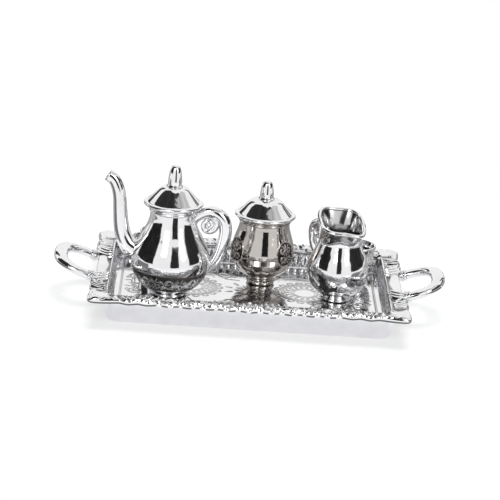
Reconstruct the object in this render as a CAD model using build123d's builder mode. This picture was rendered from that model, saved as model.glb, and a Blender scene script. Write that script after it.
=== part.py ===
from build123d import *
from math import cos, radians, sin, tan
import os

# Dolls house tea set at 1:12: a tray with two loop handles, which carries a teapot and a
# sugar bowl with lift-off lids, a cream jug and two cups. Millimetres, +Z up. The origin is
# the centre of the tray's underside, and +X runs along the tray from handle to handle.

# Tray
tray_length = 68.0  # over the border
tray_width = 46.0  # over the border
tray_height = 6.6  # underside to the top of the border
floor_height = 2.5  # top of the tray's floor
border_thickness = 1.3
border_overhang = 3.15  # border past the top of the skirt
skirt_taper = 1.45  # how far the skirt leans out from foot to border
pan_wall = 1.0
pan_corner = 3.4
pan_edge = 0.8  # rounded lower edge of the skirt
border_lobe = 0.8  # how far the shells stand out from the plain edge
shell_radius = 3.6
scroll_radius = 4.2
lobe_blend = 1.2
border_edge = 0.45

# Tray handles, round bars bent to a loop that rises outwards
handle_reach = 8.5  # past the end of the border
handle_spread = 14.0  # between the two arms
handle_bar = 1.3  # radius of the bar
handle_bend = 5.6
handle_root = 5.2  # height of the arms at the border
handle_rise = 19.0  # degrees

# Where the vessels stand: insets run from a side of the well's floor to a vessel's axis
teapot_inset = 11.7  # from the left side
teapot_y = -4.7
sugar_place = (2.7, 6.4)
creamer_inset = 10.1  # from the right side
creamer_y = -1.3
cup_left_inset = (8.6, 5.5)  # from the left and back sides
cup_right_inset = (5.1, 6.1)  # from the right and back sides

# Teapot: outline of the wall as (radius, height above the tray's floor), foot to neck
teapot_wall = 0.8
teapot_outline = [
    (3.4, 0.9),
    (5.8, 1.9),
    (7.6, 4.1),
    (8.5, 7.8),
    (7.6, 11.0),
    (6.1, 13.6),
    (5.1, 15.6),
    (4.7, 18.3),
]
teapot_foot_radius = 4.1
teapot_ring_radius = 5.35
teapot_ring_height = 1.4
spout_angle = 180.0  # degrees about the vessel's axis, from +X
spout_radius = 1.45
spout_bore = 0.8
spout_route = [(6.8, 7.4), (11.2, 11.8), (11.8, 21.6), (14.4, 25.0)]
spout_bend = 6.5
teapot_grip = 1.25  # radius of the handle's bar
teapot_grip_gap = 1.7  # lid's flange to the centre of the upper arc
teapot_grip_height = 15.3
teapot_grip_arc = 3.6
teapot_grip_tail = 14.5
teapot_grip_turn = 42.0  # degrees of the tail's arc
teapot_scroll_offset = (0.2, 1.0)  # from the centre of the upper arc
teapot_scroll_radius = 1.6
teapot_scroll_width = 1.8

# Sugar bowl
sugar_wall = 0.8
sugar_outline = [
    (2.7, 1.9),
    (4.6, 3.0),
    (6.2, 5.0),
    (6.9, 7.7),
    (6.7, 10.2),
    (6.1, 12.3),
    (5.6, 14.0),
]
sugar_foot_radius = 3.1
sugar_ring_radius = 6.0
sugar_ring_height = 1.1

# Lids: both follow one pattern
lid_overhang = 0.75  # flange past the mouth ring
lid_flange = 0.7
lid_wall = 0.7
lid_shoulder = 0.6  # flange edge to the start of the cone
lid_top_radius = 2.3
teapot_lid_rise = 3.5
sugar_lid_rise = 3.4
skirt_depth = 1.0
skirt_wall = 0.6
lid_clearance = 0.3  # skirt inside the mouth
finial_radius = 1.65
finial_waist = 1.4
teapot_finial_height = 4.7
sugar_finial_height = 4.1
stud_radius = 0.55
stud_clearance = 0.05

# Vessel handles
grip_start = 150.0  # degrees round the upper arc at which the bar leaves the neck

# Cream jug
creamer_wall = 0.8
creamer_outline = [
    (2.9, 1.1),
    (4.9, 2.1),
    (6.1, 4.4),
    (6.45, 7.0),
    (5.8, 10.0),
    (4.5, 12.6),
    (4.2, 13.6),
]
creamer_foot_radius = 3.3
creamer_spout_angle = -60.0  # degrees about the axis, from +X
creamer_mouth_length = 6.4  # half the mouth, along the spout
creamer_mouth_width = 4.7
creamer_mouth_height = 17.5  # middle of the mouth above the tray's floor
creamer_mouth_tilt = 11.0  # degrees, down towards the spout
creamer_mouth_shift = 0.4
creamer_grip = 0.9
creamer_grip_gap = 2.7  # neck to the centre of the upper arc
creamer_grip_height = 12.5
creamer_grip_arc = 2.6
creamer_grip_tail = 9.0
creamer_grip_turn = 45.0

# Cups
cup_wall = 0.6
cup_outline = [(2.0, 1.2), (3.3, 2.2), (3.75, 4.4), (3.7, 6.6), (4.1, 8.2)]
cup_foot_radius = 2.3
cup_grip = 0.55
cup_grip_centre = (4.3, 4.9)
cup_grip_arc = 1.5
cup_left_grip_angle = 150.0
cup_right_grip_angle = 75.0

# Tray sizes that follow
pan_height = tray_height - border_thickness
pan_top_length = tray_length - 2 * border_overhang
pan_top_width = tray_width - 2 * border_overhang
pan_foot_length = pan_top_length - 2 * skirt_taper
pan_foot_width = pan_top_width - 2 * skirt_taper
well_taper = skirt_taper * (pan_height - floor_height) / pan_height
well_length = pan_top_length - 2 * pan_wall
well_width = pan_top_width - 2 * pan_wall
well_foot_length = well_length - 2 * well_taper
well_foot_width = well_width - 2 * well_taper

# Axes of the vessels that stand by the well's sides
teapot_place = (teapot_inset - well_foot_length / 2, teapot_y)
creamer_place = (well_foot_length / 2 - creamer_inset, creamer_y)
cup_left_place = (
    cup_left_inset[0] - well_foot_length / 2,
    well_foot_width / 2 - cup_left_inset[1],
)
cup_right_place = (
    well_foot_length / 2 - cup_right_inset[0],
    well_foot_width / 2 - cup_right_inset[1],
)


def axis_plane(place, angle=0.0):
    """Upright plane through a vessel's axis: x is the radius, y the height above the floor."""
    turn = radians(angle)
    return Plane(
        origin=(place[0], place[1], floor_height),
        x_dir=(cos(turn), sin(turn), 0),
        z_dir=(sin(turn), -cos(turn), 0),
    )


def level_plane(place, height):
    """Level plane on a vessel's axis, at a height above the tray's floor."""
    return Plane(origin=(place[0], place[1], floor_height + height))


def vessel_axis(place):
    return Axis((place[0], place[1], 0), (0, 0, 1))


def inner_outline(outline, wall):
    """The inside of a wall: level with the outside, with a floor one wall thick."""
    seat_radius, seat_height = outline[0]
    return [(seat_radius, seat_height + wall)] + [(r - wall, h) for r, h in outline[1:]]


def make_pan():
    """Pressed pan: tapered skirt, rounded foot, flat floor and a well to hold the vessels."""
    with BuildPart() as pan:
        with BuildSketch():
            RectangleRounded(pan_foot_length, pan_foot_width, pan_corner - skirt_taper)
        with BuildSketch(Plane.XY.offset(pan_height)):
            RectangleRounded(pan_top_length, pan_top_width, pan_corner)
        loft()
        fillet(pan.faces().sort_by(Axis.Z)[0].edges(), pan_edge)
        with BuildSketch(Plane.XY.offset(floor_height)):
            RectangleRounded(
                well_foot_length, well_foot_width, pan_corner - pan_wall - well_taper
            )
        with BuildSketch(Plane.XY.offset(pan_height)):
            RectangleRounded(well_length, well_width, pan_corner - pan_wall)
        loft(mode=Mode.SUBTRACT)
    return pan.part


def make_border():
    """Cast border on the pan's edge: shells at the corners, scrolls along the sides."""
    plain_length = tray_length - 2 * border_lobe
    plain_width = tray_width - 2 * border_lobe
    corner_x = tray_length / 2 - shell_radius
    corner_y = tray_width / 2 - shell_radius
    side_y = tray_width / 2 - scroll_radius
    with BuildPart() as border:
        with BuildSketch(Plane.XY.offset(pan_height)):
            RectangleRounded(plain_length, plain_width, pan_corner)
            with GridLocations(2 * corner_x, 2 * corner_y, 2, 2):
                Circle(shell_radius)
            with GridLocations(0, 2 * side_y, 1, 2):
                Circle(scroll_radius)
            with GridLocations(corner_x, 2 * side_y, 2, 2):
                Circle(scroll_radius)
        extrude(amount=border_thickness)
        fillet(border.edges().filter_by(Axis.Z), lobe_blend)
        fillet(border.faces().sort_by(Axis.Z)[-1].edges(), border_edge)
        with BuildSketch(Plane.XY.offset(pan_height)):
            RectangleRounded(well_length, well_width, pan_corner - pan_wall)
        extrude(amount=border_thickness, mode=Mode.SUBTRACT)
    return border.part


def make_tray_handle(side, border):
    """Loop handle on one end of the border: side is 1 at +X and -1 at -X."""
    rise = radians(handle_rise)
    root_x = tray_length / 2 - border_lobe
    reach = (handle_reach - handle_bar + border_lobe) / cos(rise)
    loop_plane = Plane(
        origin=(side * root_x, 0, handle_root),
        x_dir=(side * cos(rise), 0, sin(rise)),
        z_dir=(-side * sin(rise), 0, cos(rise)),
    )
    half = handle_spread / 2
    with BuildPart() as handle:
        with BuildLine(loop_plane) as route:
            FilletPolyline((0, half), (reach, half), (reach, -half), (0, -half), radius=handle_bend)
        with BuildSketch(Plane(origin=route.line @ 0, z_dir=route.line % 0)):
            Circle(handle_bar)
        sweep()
        add(border, mode=Mode.SUBTRACT)
    return handle.part


def make_shell(place, outline, wall):
    """Turned vessel wall, closed at its seat on the foot and open at the top."""
    inside = inner_outline(outline, wall)
    with BuildPart() as shell:
        with BuildSketch(axis_plane(place)):
            with BuildLine():
                Line((0, outline[0][1]), outline[0])
                Spline(*outline)
                Line(outline[-1], inside[-1])
                Spline(*reversed(inside))
                Line(inside[0], (0, inside[0][1]))
                Line((0, inside[0][1]), (0, outline[0][1]))
            make_face()
        revolve(axis=vessel_axis(place))
    return shell.part


def make_envelope(place, outline):
    """Solid outer shape of a vessel, used to trim what is joined to its wall."""
    with BuildPart() as envelope:
        with BuildSketch(axis_plane(place)):
            with BuildLine():
                Line((0, outline[0][1]), outline[0])
                Spline(*outline)
                Line(outline[-1], (0, outline[-1][1]))
                Line((0, outline[-1][1]), (0, outline[0][1]))
            make_face()
        revolve(axis=vessel_axis(place))
    return envelope.part


def make_foot(place, foot_radius, seat_radius, height):
    """Spread foot: a low bead on the tray, waisted to the seat under the vessel."""
    bead = height * 0.4
    with BuildPart() as foot:
        with BuildSketch(axis_plane(place)):
            with BuildLine():
                Line((0, 0), (foot_radius - bead / 2, 0))
                ThreePointArc(
                    (foot_radius - bead / 2, 0),
                    (foot_radius, bead / 2),
                    (foot_radius - bead / 2, bead),
                )
                Line((foot_radius - bead / 2, bead), (seat_radius, height))
                Line((seat_radius, height), (0, height))
                Line((0, height), (0, 0))
            make_face()
        revolve(axis=vessel_axis(place))
    return foot.part


def make_mouth_ring(place, outline, wall, ring_radius, height):
    """Ring on top of the wall, on which the lid rests."""
    base = outline[-1][1]
    bore = outline[-1][0] - wall
    bead = height / 2
    with BuildPart() as ring:
        with BuildSketch(axis_plane(place)):
            with BuildLine():
                Line((bore, base), (ring_radius - bead, base))
                ThreePointArc(
                    (ring_radius - bead, base),
                    (ring_radius, base + bead),
                    (ring_radius - bead, base + height),
                )
                Line((ring_radius - bead, base + height), (bore, base + height))
                Line((bore, base + height), (bore, base))
            make_face()
        revolve(axis=vessel_axis(place))
    return ring.part


def make_lid(place, seat, mouth_radius, ring_radius, rise):
    """Hollow cone lid with a flange on the ring and a skirt inside the mouth."""
    flange_radius = ring_radius + lid_overhang
    cone_radius = flange_radius - lid_shoulder
    skirt_radius = mouth_radius - lid_clearance
    with BuildPart() as lid:
        with BuildSketch(axis_plane(place)):
            with BuildLine():
                Polyline(
                    (skirt_radius, seat - skirt_depth),
                    (skirt_radius, seat),
                    (flange_radius - lid_flange / 2, seat),
                )
                ThreePointArc(
                    (flange_radius - lid_flange / 2, seat),
                    (flange_radius, seat + lid_flange / 2),
                    (flange_radius - lid_flange / 2, seat + lid_flange),
                )
                Polyline(
                    (flange_radius - lid_flange / 2, seat + lid_flange),
                    (cone_radius, seat + lid_flange),
                    (lid_top_radius, seat + lid_flange + rise),
                    (stud_radius + stud_clearance, seat + lid_flange + rise),
                    (stud_radius + stud_clearance, seat + lid_flange + rise - lid_wall),
                    (lid_top_radius - lid_wall / 2, seat + lid_flange + rise - lid_wall),
                    (skirt_radius - skirt_wall, seat + lid_flange),
                    (skirt_radius - skirt_wall, seat - skirt_depth),
                    (skirt_radius, seat - skirt_depth),
                )
            make_face()
        revolve(axis=vessel_axis(place))
    return lid.part


def make_finial(place, base, height):
    """Bullet-shaped knob with a stud that is riveted through the top of the lid."""
    with BuildPart() as finial:
        with BuildSketch(axis_plane(place)):
            with BuildLine():
                Line((finial_radius, base), (finial_waist, base + 0.45 * height))
                Spline(
                    (finial_waist, base + 0.45 * height),
                    (finial_waist * 0.75, base + 0.83 * height),
                    (0, base + height),
                    tangents=((-0.1, 1), (-1, 0)),
                )
                Polyline(
                    (0, base + height),
                    (0, base - lid_wall),
                    (stud_radius, base - lid_wall),
                    (stud_radius, base),
                    (finial_radius, base),
                )
            make_face()
        revolve(axis=vessel_axis(place))
    return finial.part


def make_bar(plane, bar_radius, neck_radius, top, arc, tail, turn):
    """C-shaped handle: from the neck over a small upper arc to a long tail down the belly."""
    start = radians(grip_start)
    arc_start = (top[0] + arc * cos(start), top[1] + arc * sin(start))
    run = max(arc_start[0] - neck_radius, 0) + bar_radius / 2
    root = (arc_start[0] - run, arc_start[1] + run / tan(start))
    with BuildPart() as bar:
        with BuildLine(plane) as route:
            Line(root, arc_start)
            CenterArc(top, arc, grip_start, -grip_start)
            CenterArc((top[0] + arc - tail, top[1]), tail, 0, -turn)
        with BuildSketch(Plane(origin=route.line @ 0, z_dir=route.line % 0)):
            Circle(bar_radius)
        sweep()
    return bar.part


def make_teapot_handle(envelope, ring):
    plane = axis_plane(teapot_place)
    top_x = teapot_ring_radius + lid_overhang + teapot_grip_gap
    scroll_x, scroll_y = teapot_scroll_offset
    with BuildPart() as handle:
        add(
            make_bar(
                plane,
                teapot_grip,
                teapot_outline[-1][0],
                (top_x, teapot_grip_height),
                teapot_grip_arc,
                teapot_grip_tail,
                teapot_grip_turn,
            )
        )
        with BuildSketch(plane):
            with Locations((top_x + scroll_x, teapot_grip_height + scroll_y)):
                Circle(teapot_scroll_radius)
        extrude(amount=teapot_scroll_width / 2, both=True)
        add(envelope, mode=Mode.SUBTRACT)
        add(ring, mode=Mode.SUBTRACT)
    return handle.part


def spout_tube(plane, radius):
    with BuildPart() as tube:
        with BuildLine(plane) as route:
            FilletPolyline(*spout_route, radius=spout_bend)
        with BuildSketch(Plane(origin=route.line @ 0, z_dir=route.line % 0)):
            Circle(radius)
        sweep()
    return tube.part


def make_spout(envelope, bore):
    """Swan-neck spout, hollow, trimmed to the belly."""
    with BuildPart() as spout:
        add(spout_tube(axis_plane(teapot_place, spout_angle), spout_radius))
        add(bore, mode=Mode.SUBTRACT)
        add(envelope, mode=Mode.SUBTRACT)
    return spout.part


def make_teapot_body(bore):
    """Teapot wall with the pouring hole behind the spout."""
    with BuildPart() as body:
        add(make_shell(teapot_place, teapot_outline, teapot_wall))
        add(bore, mode=Mode.SUBTRACT)
    return body.part


def mouth_plane():
    """Tilted plane of the cream jug's lip, with x along the spout."""
    turn = radians(creamer_spout_angle)
    tilt = radians(creamer_mouth_tilt)
    x, y = creamer_place
    return Plane(
        origin=(
            x + creamer_mouth_shift * cos(turn),
            y + creamer_mouth_shift * sin(turn),
            floor_height + creamer_mouth_height,
        ),
        x_dir=(cos(turn) * cos(tilt), sin(turn) * cos(tilt), -sin(tilt)),
        z_dir=(cos(turn) * sin(tilt), sin(turn) * sin(tilt), cos(tilt)),
    )


def make_creamer_body():
    """Jug wall, turned up to the neck and drawn out above it to an oval pouring mouth."""
    neck_radius, neck_height = creamer_outline[-1]
    with BuildPart() as body:
        add(make_shell(creamer_place, creamer_outline, creamer_wall))
        with BuildSketch(level_plane(creamer_place, neck_height)):
            Circle(neck_radius)
        with BuildSketch(mouth_plane()):
            Ellipse(creamer_mouth_length, creamer_mouth_width)
        loft()
        with BuildSketch(level_plane(creamer_place, neck_height)):
            Circle(neck_radius - creamer_wall)
        with BuildSketch(mouth_plane()):
            Ellipse(creamer_mouth_length - creamer_wall, creamer_mouth_width - creamer_wall)
        loft(mode=Mode.SUBTRACT)
    return body.part


def make_creamer_mouth_envelope():
    neck_radius, neck_height = creamer_outline[-1]
    with BuildPart() as envelope:
        add(make_envelope(creamer_place, creamer_outline))
        with BuildSketch(level_plane(creamer_place, neck_height)):
            Circle(neck_radius)
        with BuildSketch(mouth_plane()):
            Ellipse(creamer_mouth_length, creamer_mouth_width)
        loft()
    return envelope.part


def make_creamer_handle():
    plane = axis_plane(creamer_place, creamer_spout_angle + 180)
    neck_radius = creamer_outline[-1][0]
    with BuildPart() as handle:
        add(
            make_bar(
                plane,
                creamer_grip,
                neck_radius,
                (neck_radius + creamer_grip_gap, creamer_grip_height),
                creamer_grip_arc,
                creamer_grip_tail,
                creamer_grip_turn,
            )
        )
        add(make_creamer_mouth_envelope(), mode=Mode.SUBTRACT)
    return handle.part


def make_cup_handle(place, angle):
    with BuildPart() as handle:
        with BuildLine(axis_plane(place, angle)) as route:
            CenterArc(cup_grip_centre, cup_grip_arc, -130, 260)
        with BuildSketch(Plane(origin=route.line @ 0, z_dir=route.line % 0)):
            Circle(cup_grip)
        sweep()
        add(make_envelope(place, cup_outline), mode=Mode.SUBTRACT)
    return handle.part


def write(part, name):
    part.label = name
    export_step(part, f"parts/{name}.step")


os.makedirs("parts", exist_ok=True)

# Tray
border = make_border()
write(make_pan(), "tray_pan")
write(border, "tray_border")
write(make_tray_handle(-1, border), "tray_handle_left")
write(make_tray_handle(1, border), "tray_handle_right")

# Teapot
teapot_seat = teapot_outline[-1][1] + teapot_ring_height
teapot_mouth = teapot_outline[-1][0] - teapot_wall
teapot_envelope = make_envelope(teapot_place, teapot_outline)
teapot_ring = make_mouth_ring(
    teapot_place, teapot_outline, teapot_wall, teapot_ring_radius, teapot_ring_height
)
spout_bore_tube = spout_tube(axis_plane(teapot_place, spout_angle), spout_bore)
write(make_teapot_body(spout_bore_tube), "teapot_body")
write(make_foot(teapot_place, teapot_foot_radius, *teapot_outline[0]), "teapot_foot")
write(teapot_ring, "teapot_mouth_ring")
write(make_spout(teapot_envelope, spout_bore_tube), "teapot_spout")
write(make_teapot_handle(teapot_envelope, teapot_ring), "teapot_handle")
write(
    make_lid(teapot_place, teapot_seat, teapot_mouth, teapot_ring_radius, teapot_lid_rise),
    "teapot_lid",
)
teapot_lid_top = teapot_seat + lid_flange + teapot_lid_rise
write(make_finial(teapot_place, teapot_lid_top, teapot_finial_height), "teapot_finial")

# Sugar bowl
sugar_seat = sugar_outline[-1][1] + sugar_ring_height
sugar_mouth = sugar_outline[-1][0] - sugar_wall
write(make_shell(sugar_place, sugar_outline, sugar_wall), "sugar_body")
write(make_foot(sugar_place, sugar_foot_radius, *sugar_outline[0]), "sugar_foot")
write(
    make_mouth_ring(sugar_place, sugar_outline, sugar_wall, sugar_ring_radius, sugar_ring_height),
    "sugar_mouth_ring",
)
write(
    make_lid(sugar_place, sugar_seat, sugar_mouth, sugar_ring_radius, sugar_lid_rise),
    "sugar_lid",
)
sugar_lid_top = sugar_seat + lid_flange + sugar_lid_rise
write(make_finial(sugar_place, sugar_lid_top, sugar_finial_height), "sugar_finial")

# Cream jug
write(make_creamer_body(), "creamer_body")
write(make_foot(creamer_place, creamer_foot_radius, *creamer_outline[0]), "creamer_foot")
write(make_creamer_handle(), "creamer_handle")

# Cups
cups = {
    "cup_left": (cup_left_place, cup_left_grip_angle),
    "cup_right": (cup_right_place, cup_right_grip_angle),
}
for cup, (place, grip_angle) in cups.items():
    write(make_shell(place, cup_outline, cup_wall), f"{cup}_body")
    write(make_foot(place, cup_foot_radius, *cup_outline[0]), f"{cup}_foot")
    write(make_cup_handle(place, grip_angle), f"{cup}_handle")
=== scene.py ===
from math import cos, pi, radians, sin, tan

import bmesh
import bpy
import numpy as np
from mathutils import Matrix, Vector


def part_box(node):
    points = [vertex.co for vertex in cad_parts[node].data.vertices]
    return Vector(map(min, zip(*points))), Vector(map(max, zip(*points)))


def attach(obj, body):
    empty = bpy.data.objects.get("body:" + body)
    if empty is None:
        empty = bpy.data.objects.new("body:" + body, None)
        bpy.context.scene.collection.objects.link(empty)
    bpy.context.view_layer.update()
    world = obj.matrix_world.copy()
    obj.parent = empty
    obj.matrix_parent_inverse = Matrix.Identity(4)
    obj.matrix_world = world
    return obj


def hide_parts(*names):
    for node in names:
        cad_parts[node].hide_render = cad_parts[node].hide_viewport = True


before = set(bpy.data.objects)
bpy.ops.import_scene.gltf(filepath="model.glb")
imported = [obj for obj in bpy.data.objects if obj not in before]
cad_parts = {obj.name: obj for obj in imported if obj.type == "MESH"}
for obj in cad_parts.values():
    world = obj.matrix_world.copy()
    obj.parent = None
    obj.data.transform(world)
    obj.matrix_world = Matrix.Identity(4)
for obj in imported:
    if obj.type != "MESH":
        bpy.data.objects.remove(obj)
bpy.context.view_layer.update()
mm = 0.001


class Wire:
    # one socket of a node tree: maths on it adds Math nodes
    def __init__(self, nodes, socket):
        self.nodes = nodes
        self.socket = socket

    def at(self, name):
        return Wire(self.nodes, self.socket.node.outputs[name])

    def maths(self, operation, first, second):
        return self.nodes.make("ShaderNodeMath", {"operation": operation}, {0: first, 1: second})

    def __add__(self, other):
        return self.maths("ADD", self, other)

    def __mul__(self, other):
        return self.maths("MULTIPLY", self, other)

    __radd__ = __add__
    __rmul__ = __mul__


class Nodes:
    # a node tree and the one way nodes are added to it
    def __init__(self, tree):
        self.tree = tree

    def make(self, kind, settings=None, values=None):
        node = self.tree.nodes.new(kind)
        for key, value in (settings or {}).items():
            if key == "stops":
                for place, colour in value[2:]:
                    node.color_ramp.elements.new(place)
                for element, (place, colour) in zip(node.color_ramp.elements, sorted(value)):
                    element.position = place
                    element.color = (*colour, 1)
            else:
                setattr(node, key, value)
        for key, value in (values or {}).items():
            if isinstance(value, Wire):
                self.tree.links.new(value.socket, node.inputs[key])
            else:
                node.inputs[key].default_value = value
        return Wire(self, node.outputs[0]) if node.outputs else node


def startMaterial(name):
    material = bpy.data.materials.new(name)
    material.use_nodes = True
    material.node_tree.nodes.clear()
    return material, Nodes(material.node_tree)


# Silver plate. Roughness and tone drift over the surface, the cast skin ripples a little,
# and the recess attribute, 0 on the faces and 1 deep in the engraving, takes the dark oxide; under the tray's
# border and inside the cream jug the same attribute lays painted shade.
def platedSilver(name, tone, oxideAndShade, ripple, smooth, recessed):
    material, nodes = startMaterial(name)
    place = nodes.make("ShaderNodeTexCoord").at("Object")
    cloud = nodes.make("ShaderNodeTexNoise", None, {"Vector": place, "Scale": 260, "Detail": 3})
    grain = nodes.make("ShaderNodeTexNoise", None, {"Vector": place, "Scale": 2600, "Detail": 2})
    wave = nodes.make("ShaderNodeTexNoise", None, {"Vector": place, "Scale": 520, "Detail": 1.5})
    stretched = nodes.make("ShaderNodeMapping", None, {"Vector": place, "Scale": (9000, 1500, 1500)})
    scratch = nodes.make("ShaderNodeTexNoise", None, {"Vector": stretched, "Scale": 1, "Detail": 2})
    darker = [0.93 * c for c in tone]
    colour = nodes.make("ShaderNodeValToRGB", {"stops": [(0.3, darker), (0.7, tone)]}, {0: cloud})
    rough = smooth + cloud * 0.03 + grain * 0.02 + scratch * 0.015
    if recessed:
        deep = nodes.make("ShaderNodeAttribute", {"attribute_name": "recess"}).at("Fac")
        colour = nodes.make("ShaderNodeMix", {"data_type": "RGBA"},
                            {0: deep, 6: colour, 7: (*oxideAndShade, 1)}).at(2)
        rough = rough + deep * 0.22
    height = wave * 1.0 + grain * 0.05 + scratch * 0.03
    bump = nodes.make("ShaderNodeBump", None, {"Strength": 1.0, "Distance": ripple, "Height": height})
    shader = nodes.make("ShaderNodeBsdfPrincipled", None,
                        {"Base Color": colour, "Metallic": 1.0, "Roughness": rough, "Normal": bump})
    nodes.make("ShaderNodeOutputMaterial", None, {"Surface": shader})
    return material


finishes = {
    # name, tone, tone of the oxide and of the painted shade, height of the ripple in metres, roughness,
    # whether the engraving is dark
    "polished": platedSilver("polishedPlate", (0.87, 0.87, 0.88), (0.2, 0.19, 0.18), 0.00003, 0.035, False),
    "engraved": platedSilver("engravedPlate", (0.87, 0.87, 0.88), (0.12, 0.11, 0.10), 0.00003, 0.04, True),
    # the sugar bowl's plate: a warm tint, its tone lowered well below the other plate as painted shade
    # standing in for dark reflections and the shadow under the lid
    "warmShaded": platedSilver("warmShadedPlate", (0.56, 0.53, 0.505), (0.04, 0.033, 0.028), 0.00003, 0.04, True),
    "tray": platedSilver("trayPlate", (0.87, 0.87, 0.875), (0.1, 0.095, 0.09), 0.00001, 0.05, True),
    "skirt": platedSilver("skirtPlate", (0.88, 0.88, 0.905), (0.12, 0.12, 0.12), 0.000006, 0.08, True),
}
print("materials made")


def smoothThrough(points, perSpan=8):
    # Catmull-Rom curve through the points, evenly stepped within each span
    p = np.array(points, float)
    ends = np.vstack([2 * p[0] - p[1], p, 2 * p[-1] - p[-2]])
    t = np.linspace(0, 1, perSpan, endpoint=False)[:, None]
    spans = []
    for a, b, c, d in zip(ends, ends[1:], ends[2:], ends[3:]):
        spans.append(b + 0.5 * t * (c - a + t * (2 * a - 5 * b + 4 * c - d + t * (3 * (b - c) + d - a))))
    return np.vstack(spans + [p[-1:]])


def arcOf(centre, radius, start, turn, steps=10):
    angle = np.radians(np.linspace(start, start + turn, steps + 1))
    return np.stack([centre[0] + radius * np.cos(angle), centre[1] + radius * np.sin(angle)], 1)


def runOf(points):
    # distance along a line at each of its points
    return np.concatenate([[0], np.cumsum(np.hypot(*np.diff(points, axis=0).T))])


def restep(points, step):
    # the same line with points a step apart; step may be a function of the point
    p = np.array(points, float)
    run = runOf(p)
    places = [0.0]
    while places[-1] < run[-1]:
        here = [np.interp(places[-1], run, p[:, k]) for k in (0, 1)]
        places.append(places[-1] + (step(*here) if callable(step) else step))
    places[-1] = run[-1]
    return np.stack([np.interp(places, run, p[:, k]) for k in (0, 1)], 1)


def spread(values, count):
    # a short list of sizes, drawn out evenly to count of them
    return np.interp(np.linspace(0, 1, count), np.linspace(0, 1, len(values)), values)


def gridFaces(rows, columns, around=True):
    r, c = np.meshgrid(np.arange(rows - 1), np.arange(columns if around else columns - 1), indexing="ij")
    right = (c + 1) % columns
    return np.stack([r * columns + c, r * columns + right, (r + 1) * columns + right,
                     (r + 1) * columns + c], -1).reshape(-1, 4)


def meshFrom(name, points, faces, recess=None, sharp=38):
    # millimetre points to a clean closed mesh with outward faces
    mesh = bpy.data.meshes.new(name)
    mesh.from_pydata((np.asarray(points) * mm).tolist(), [], np.asarray(faces).tolist())
    if recess is not None:
        layer = mesh.attributes.new("recess", "FLOAT", "POINT")
        layer.data.foreach_set("value", np.clip(recess, 0, 1).astype(np.float32).ravel())
    bm = bmesh.new()
    bm.from_mesh(mesh)
    bmesh.ops.remove_doubles(bm, verts=bm.verts, dist=2e-7)
    bmesh.ops.dissolve_degenerate(bm, edges=bm.edges, dist=1e-8)
    bmesh.ops.recalc_face_normals(bm, faces=bm.faces)
    bm.to_mesh(mesh)
    bm.free()
    mesh.shade_smooth()
    mesh.set_sharp_from_angle(angle=radians(sharp))
    return mesh


def showPiece(name, mesh, finish, body, nodes=()):
    # nodes: the plain pieces this one stands for; a piece of trim stands for none
    piece = bpy.data.objects.new(name, mesh)
    bpy.context.collection.objects.link(piece)
    mesh.materials.clear()
    mesh.materials.append(finishes[finish])
    if nodes:
        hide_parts(*nodes)
    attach(piece, body)


def repeatAlong(name, path, closed, motif, count, sizes, finish):
    # Geometry Nodes: the motif set evenly along a path, turned with it, as one plain mesh
    curve = bpy.data.curves.new(name + "Path", "CURVE")
    curve.dimensions = "3D"
    spline = curve.splines.new("POLY")
    spline.points.add(len(path) - 1)
    for point, place in zip(spline.points, path):
        point.co = (*(float(v) * mm for v in place), 1)
    spline.use_cyclic_u = closed
    carrier = bpy.data.objects.new(name + "Path", curve)
    stamp = bpy.data.objects.new(name + "Motif", motif)
    for thing in (carrier, stamp):
        bpy.context.collection.objects.link(thing)
    tree = bpy.data.node_groups.new(name + "Tree", "GeometryNodeTree")
    sockets = {
        "Count": ("NodeSocketInt", count),
        "Smallest": ("NodeSocketFloat", sizes[0]),
        "Largest": ("NodeSocketFloat", sizes[1]),
        "Seed": ("NodeSocketInt", 7),
        "Motif": ("NodeSocketObject", stamp),
        "Finish": ("NodeSocketMaterial", finishes[finish]),
    }
    tree.interface.new_socket("Geometry", in_out="INPUT", socket_type="NodeSocketGeometry")
    for key, (kind, value) in sockets.items():
        tree.interface.new_socket(key, in_out="INPUT", socket_type=kind)
    tree.interface.new_socket("Geometry", in_out="OUTPUT", socket_type="NodeSocketGeometry")
    nodes = Nodes(tree)
    given = nodes.make("NodeGroupInput")
    steps = nodes.make("GeometryNodeResampleCurve", None, {"Curve": given, "Count": given.at("Count")})
    along = nodes.make("GeometryNodeInputTangent")
    turn = nodes.make("FunctionNodeAlignRotationToVector",
                      {"axis": "X", "pivot_axis": "Z"}, {"Vector": along})
    shape = nodes.make("GeometryNodeObjectInfo", None, {"Object": given.at("Motif")}).at("Geometry")
    size = nodes.make("FunctionNodeRandomValue", {"data_type": "FLOAT"},
                      {2: given.at("Smallest"), 3: given.at("Largest"), "Seed": given.at("Seed")}).at(1)
    row = nodes.make("GeometryNodeInstanceOnPoints", None,
                     {"Points": steps, "Instance": shape, "Rotation": turn, "Scale": size})
    real = nodes.make("GeometryNodeRealizeInstances", None, {"Geometry": row})
    plated = nodes.make("GeometryNodeSetMaterial", None, {"Geometry": real, "Material": given.at("Finish")})
    nodes.make("NodeGroupOutput", None, {"Geometry": plated})
    modifier = carrier.modifiers.new(name, "NODES")
    modifier.node_group = tree
    for item in tree.interface.items_tree:
        if item.in_out == "INPUT" and item.name in sockets:
            modifier[item.identifier] = sockets[item.name][1]
    ready = carrier.evaluated_get(bpy.context.evaluated_depsgraph_get())
    mesh = bpy.data.meshes.new_from_object(ready)
    mesh.name = name
    carrier.modifiers.remove(modifier)
    for thing in (carrier, stamp):
        bpy.data.objects.remove(thing)
    mesh.shade_smooth()
    return mesh


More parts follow.
